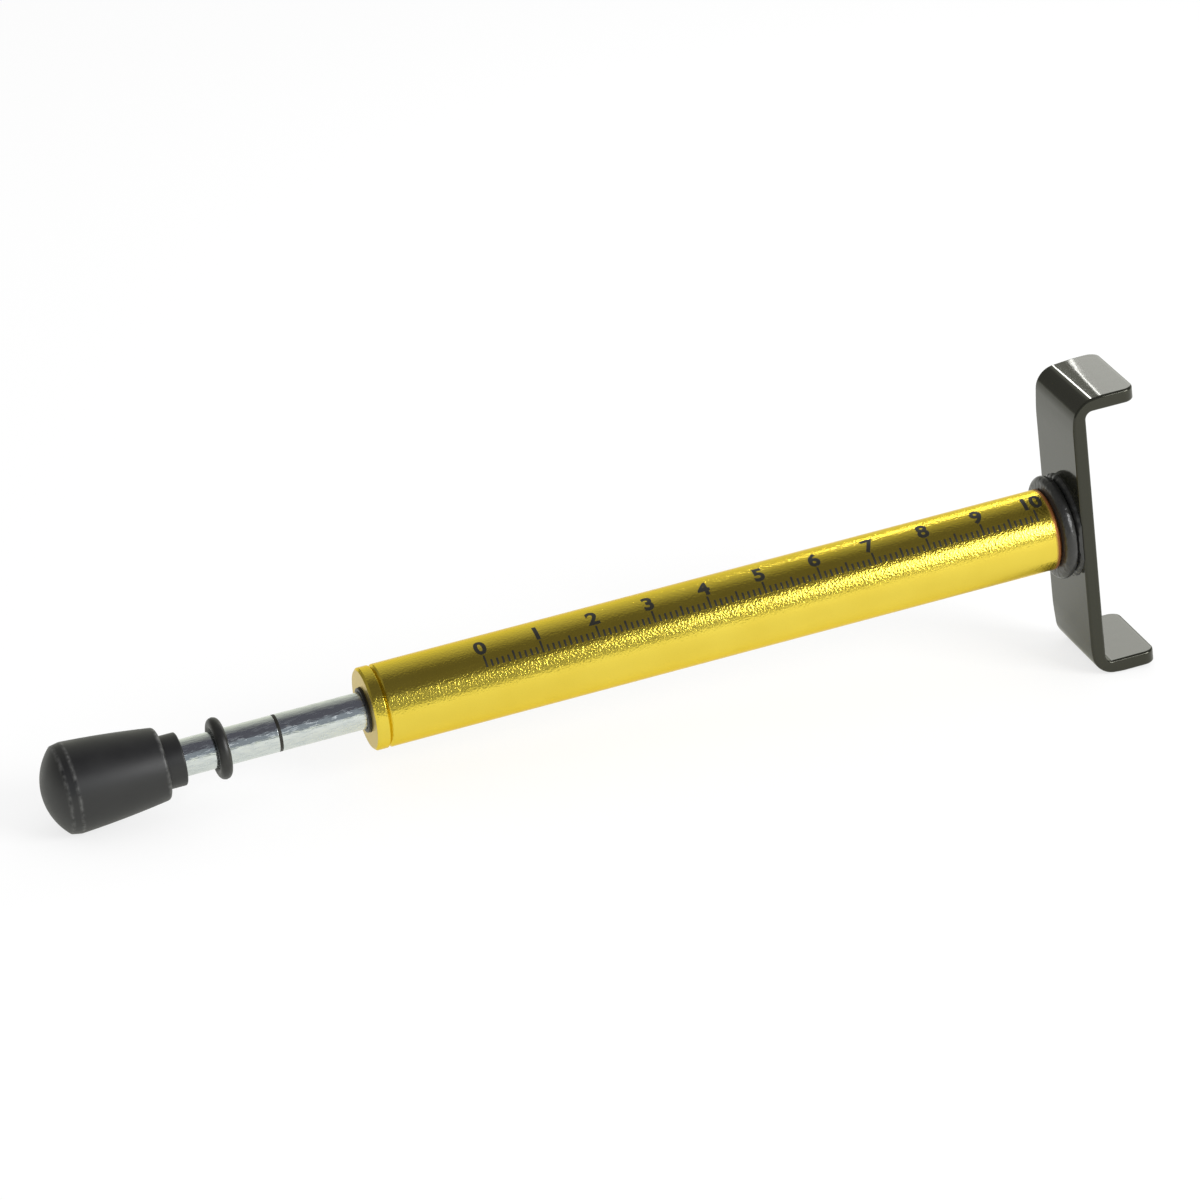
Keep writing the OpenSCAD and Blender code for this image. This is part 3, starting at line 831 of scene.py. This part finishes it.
# Rubber: dull black with a bloom
RUBBER_BLOOM = 0.8 * MM
black_rubber, tree, shader = new_material("black_rubber", "#1a1a19", 0.42)
where = add_node(tree, "ShaderNodeTexCoord").outputs["Object"]
bloom = add_node(tree, "ShaderNodeTexNoise", {"Scale": 1 / RUBBER_BLOOM, "Detail": 3}, {"Vector": where})
tint = add_node(tree, "ShaderNodeMix", {
    "data_type": "RGBA", 6: linear("#161615"), 7: linear("#262624"),
}, {0: bloom.outputs[0]})
tree.links.new(tint.outputs[2], shader.inputs["Base Color"])
add_piece("rubber_ring", o_ring, black_rubber, "marker", "marker_ring")

# Floor. White board under the gauge, which rests on the knob's rim and the cradle's lower corner.
# It glows almost white to the eye with a faint shadow. In the metal it is a little warm and keeps more
# of its shadow.
FLOOR_HALF = 1500 * MM
FLOOR_GLOW = 0.75
MIRROR_GLOW = 0.4
corner_centre = Vector((BEND_R, 0, -half_gap + BEND_R))
corner_r = BEND_R + bar_t
rim = Vector((band_x, 0, -knob_r))
gap = corner_centre - rim
slope = math.atan2(gap.z, gap.x) - math.asin(corner_r / gap.length)
floor_mesh = bpy.data.meshes.new("floor")
floor_along = Vector((math.cos(slope), 0, math.sin(slope))) * FLOOR_HALF
floor_across = Vector((0, FLOOR_HALF, 0))
floor_mesh.from_pydata(
    [rim + a * floor_along + b * floor_across for a, b in ((-1, -1), (1, -1), (1, 1), (-1, 1))],
    [], [(0, 1, 2, 3)],
)
floor = bpy.data.objects.new("floor", floor_mesh)
scene.collection.objects.link(floor)
white_board = bpy.data.materials.new("white_board")
white_board.use_nodes = True
tree = white_board.node_tree
tree.nodes.clear()
matt = add_node(tree, "ShaderNodeBsdfDiffuse", {"Color": linear("#ffffff")})
seen = add_node(tree, "ShaderNodeLightPath").outputs["Is Camera Ray"]
shade = add_node(tree, "ShaderNodeMix", {
    "data_type": "RGBA", 6: linear("#f8faea"), 7: linear("#ffffff"),
}, {0: seen})
glow = add_node(tree, "ShaderNodeEmission", {"Strength": 1}, {"Color": shade.outputs[2]})
share = add_node(tree, "ShaderNodeMapRange", {"To Min": MIRROR_GLOW, "To Max": FLOOR_GLOW}, {"Value": seen})
blend = add_node(tree, "ShaderNodeMixShader", links={
    0: share.outputs[0], 1: matt.outputs[0], 2: glow.outputs[0],
})
add_node(tree, "ShaderNodeOutputMaterial", links={"Surface": blend.outputs[0]})
floor_mesh.materials.append(white_board)

# Room. Seen directly it is white paper. In the metal it is bright behind and at floor level, grey
# in front and dark overhead, with a grey card behind on the left, and its even light fills the
# shadows. The heights are degrees up from the front, the card's edges shares of a direction.
ROOM_FILL = 0.75
CEILING = linear("#616068")
FRONT = linear("#999fa6")
BACK = linear("#f8faea")
FRONT_FOOT = (2, 8)
CEILING_FRONT = (38, 48)
CEILING_BACK = (98, 172)
CARD_GREY = linear("#8c8c86")
CARD = {"X": (0.12, 0), "Y": (0, 0.2), "Z": (0, 0.1)}
room = bpy.data.worlds.new("room")
scene.world = room
room.use_nodes = True
tree = room.node_tree
tree.nodes.clear()
ray = add_node(tree, "ShaderNodeLightPath")
direction = add_node(tree, "ShaderNodeTexCoord").outputs["Generated"]
parts = add_node(tree, "ShaderNodeSeparateXYZ", links={0: direction})
forward = add_node(tree, "ShaderNodeMath", {"operation": "MULTIPLY", 1: -1.0}, {0: parts.outputs["Y"]})
height = add_node(tree, "ShaderNodeMath", {"operation": "ARCTAN2"}, {
    0: parts.outputs["Z"], 1: forward.outputs[0],
})
studio = None
for colour, (start, end) in ((FRONT, FRONT_FOOT), (CEILING, CEILING_FRONT), (BACK, CEILING_BACK)):
    over = add_node(tree, "ShaderNodeMapRange", {
        "From Min": math.radians(start), "From Max": math.radians(end),
    }, {"Value": height.outputs[0]})
    below = {6: studio.outputs[2]} if studio else {}
    studio = add_node(tree, "ShaderNodeMix", {"data_type": "RGBA", 6: BACK, 7: colour}, {
        0: over.outputs[0], **below,
    })
card = None
for axis, (start, end) in CARD.items():
    side = add_node(tree, "ShaderNodeMapRange", {
        "From Min": start, "From Max": end,
    }, {"Value": parts.outputs[axis]})
    if card:
        side = add_node(tree, "ShaderNodeMath", {"operation": "MULTIPLY"}, {
            0: card.outputs[0], 1: side.outputs[0],
        })
    card = side
studio = add_node(tree, "ShaderNodeMix", {"data_type": "RGBA", 7: CARD_GREY}, {
    0: card.outputs[0], 6: studio.outputs[2],
})
fill = add_node(tree, "ShaderNodeMix", {"data_type": "RGBA", 6: (ROOM_FILL, ROOM_FILL, ROOM_FILL, 1)}, {
    0: ray.outputs["Is Glossy Ray"], 7: studio.outputs[2],
})
paper = add_node(tree, "ShaderNodeMix", {"data_type": "RGBA", 7: linear("#ffffff")}, {
    0: ray.outputs["Is Camera Ray"], 6: fill.outputs[2],
})
glow = add_node(tree, "ShaderNodeBackground", {"Strength": 1}, {"Color": paper.outputs[2]})
add_node(tree, "ShaderNodeOutputWorld", links={"Surface": glow.outputs[0]})
scene.view_settings.view_transform = "Standard"

# Lights. A large soft key to the right of the camera draws the highlight along the tube. A small
# panel, a strip and a sliver behind the cradle glance off its upper flange and bend. Places and sizes
# are in millimetres, power in watts.
LAMPS = {
    "key": {"at": (550, -680, 380), "size": (520, 400), "power": 7.5},
    "rear": {"at": (145, 257, 145), "size": (100, 110), "power": 0.08},
    "strip": {"at": (65, 257, 178), "size": (14, 22), "power": 0.022},
    "sliver": {"at": (93, 257, 165), "size": (2.5, 36), "power": 0.0035},
}
LIT_POINT = Vector((0, 0, 10)) * MM
for name, facts in LAMPS.items():
    lamp = bpy.data.lights.new(name, "AREA")
    lamp.shape = "RECTANGLE"
    lamp.size, lamp.size_y = (side * MM for side in facts["size"])
    lamp.energy = facts["power"]
    light = bpy.data.objects.new(name, lamp)
    light.location = Vector(facts["at"]) * MM
    light.rotation_euler = (LIT_POINT - light.location).to_track_quat("-Z", "Y").to_euler()
    light.visible_camera = False
    scene.collection.objects.link(light)
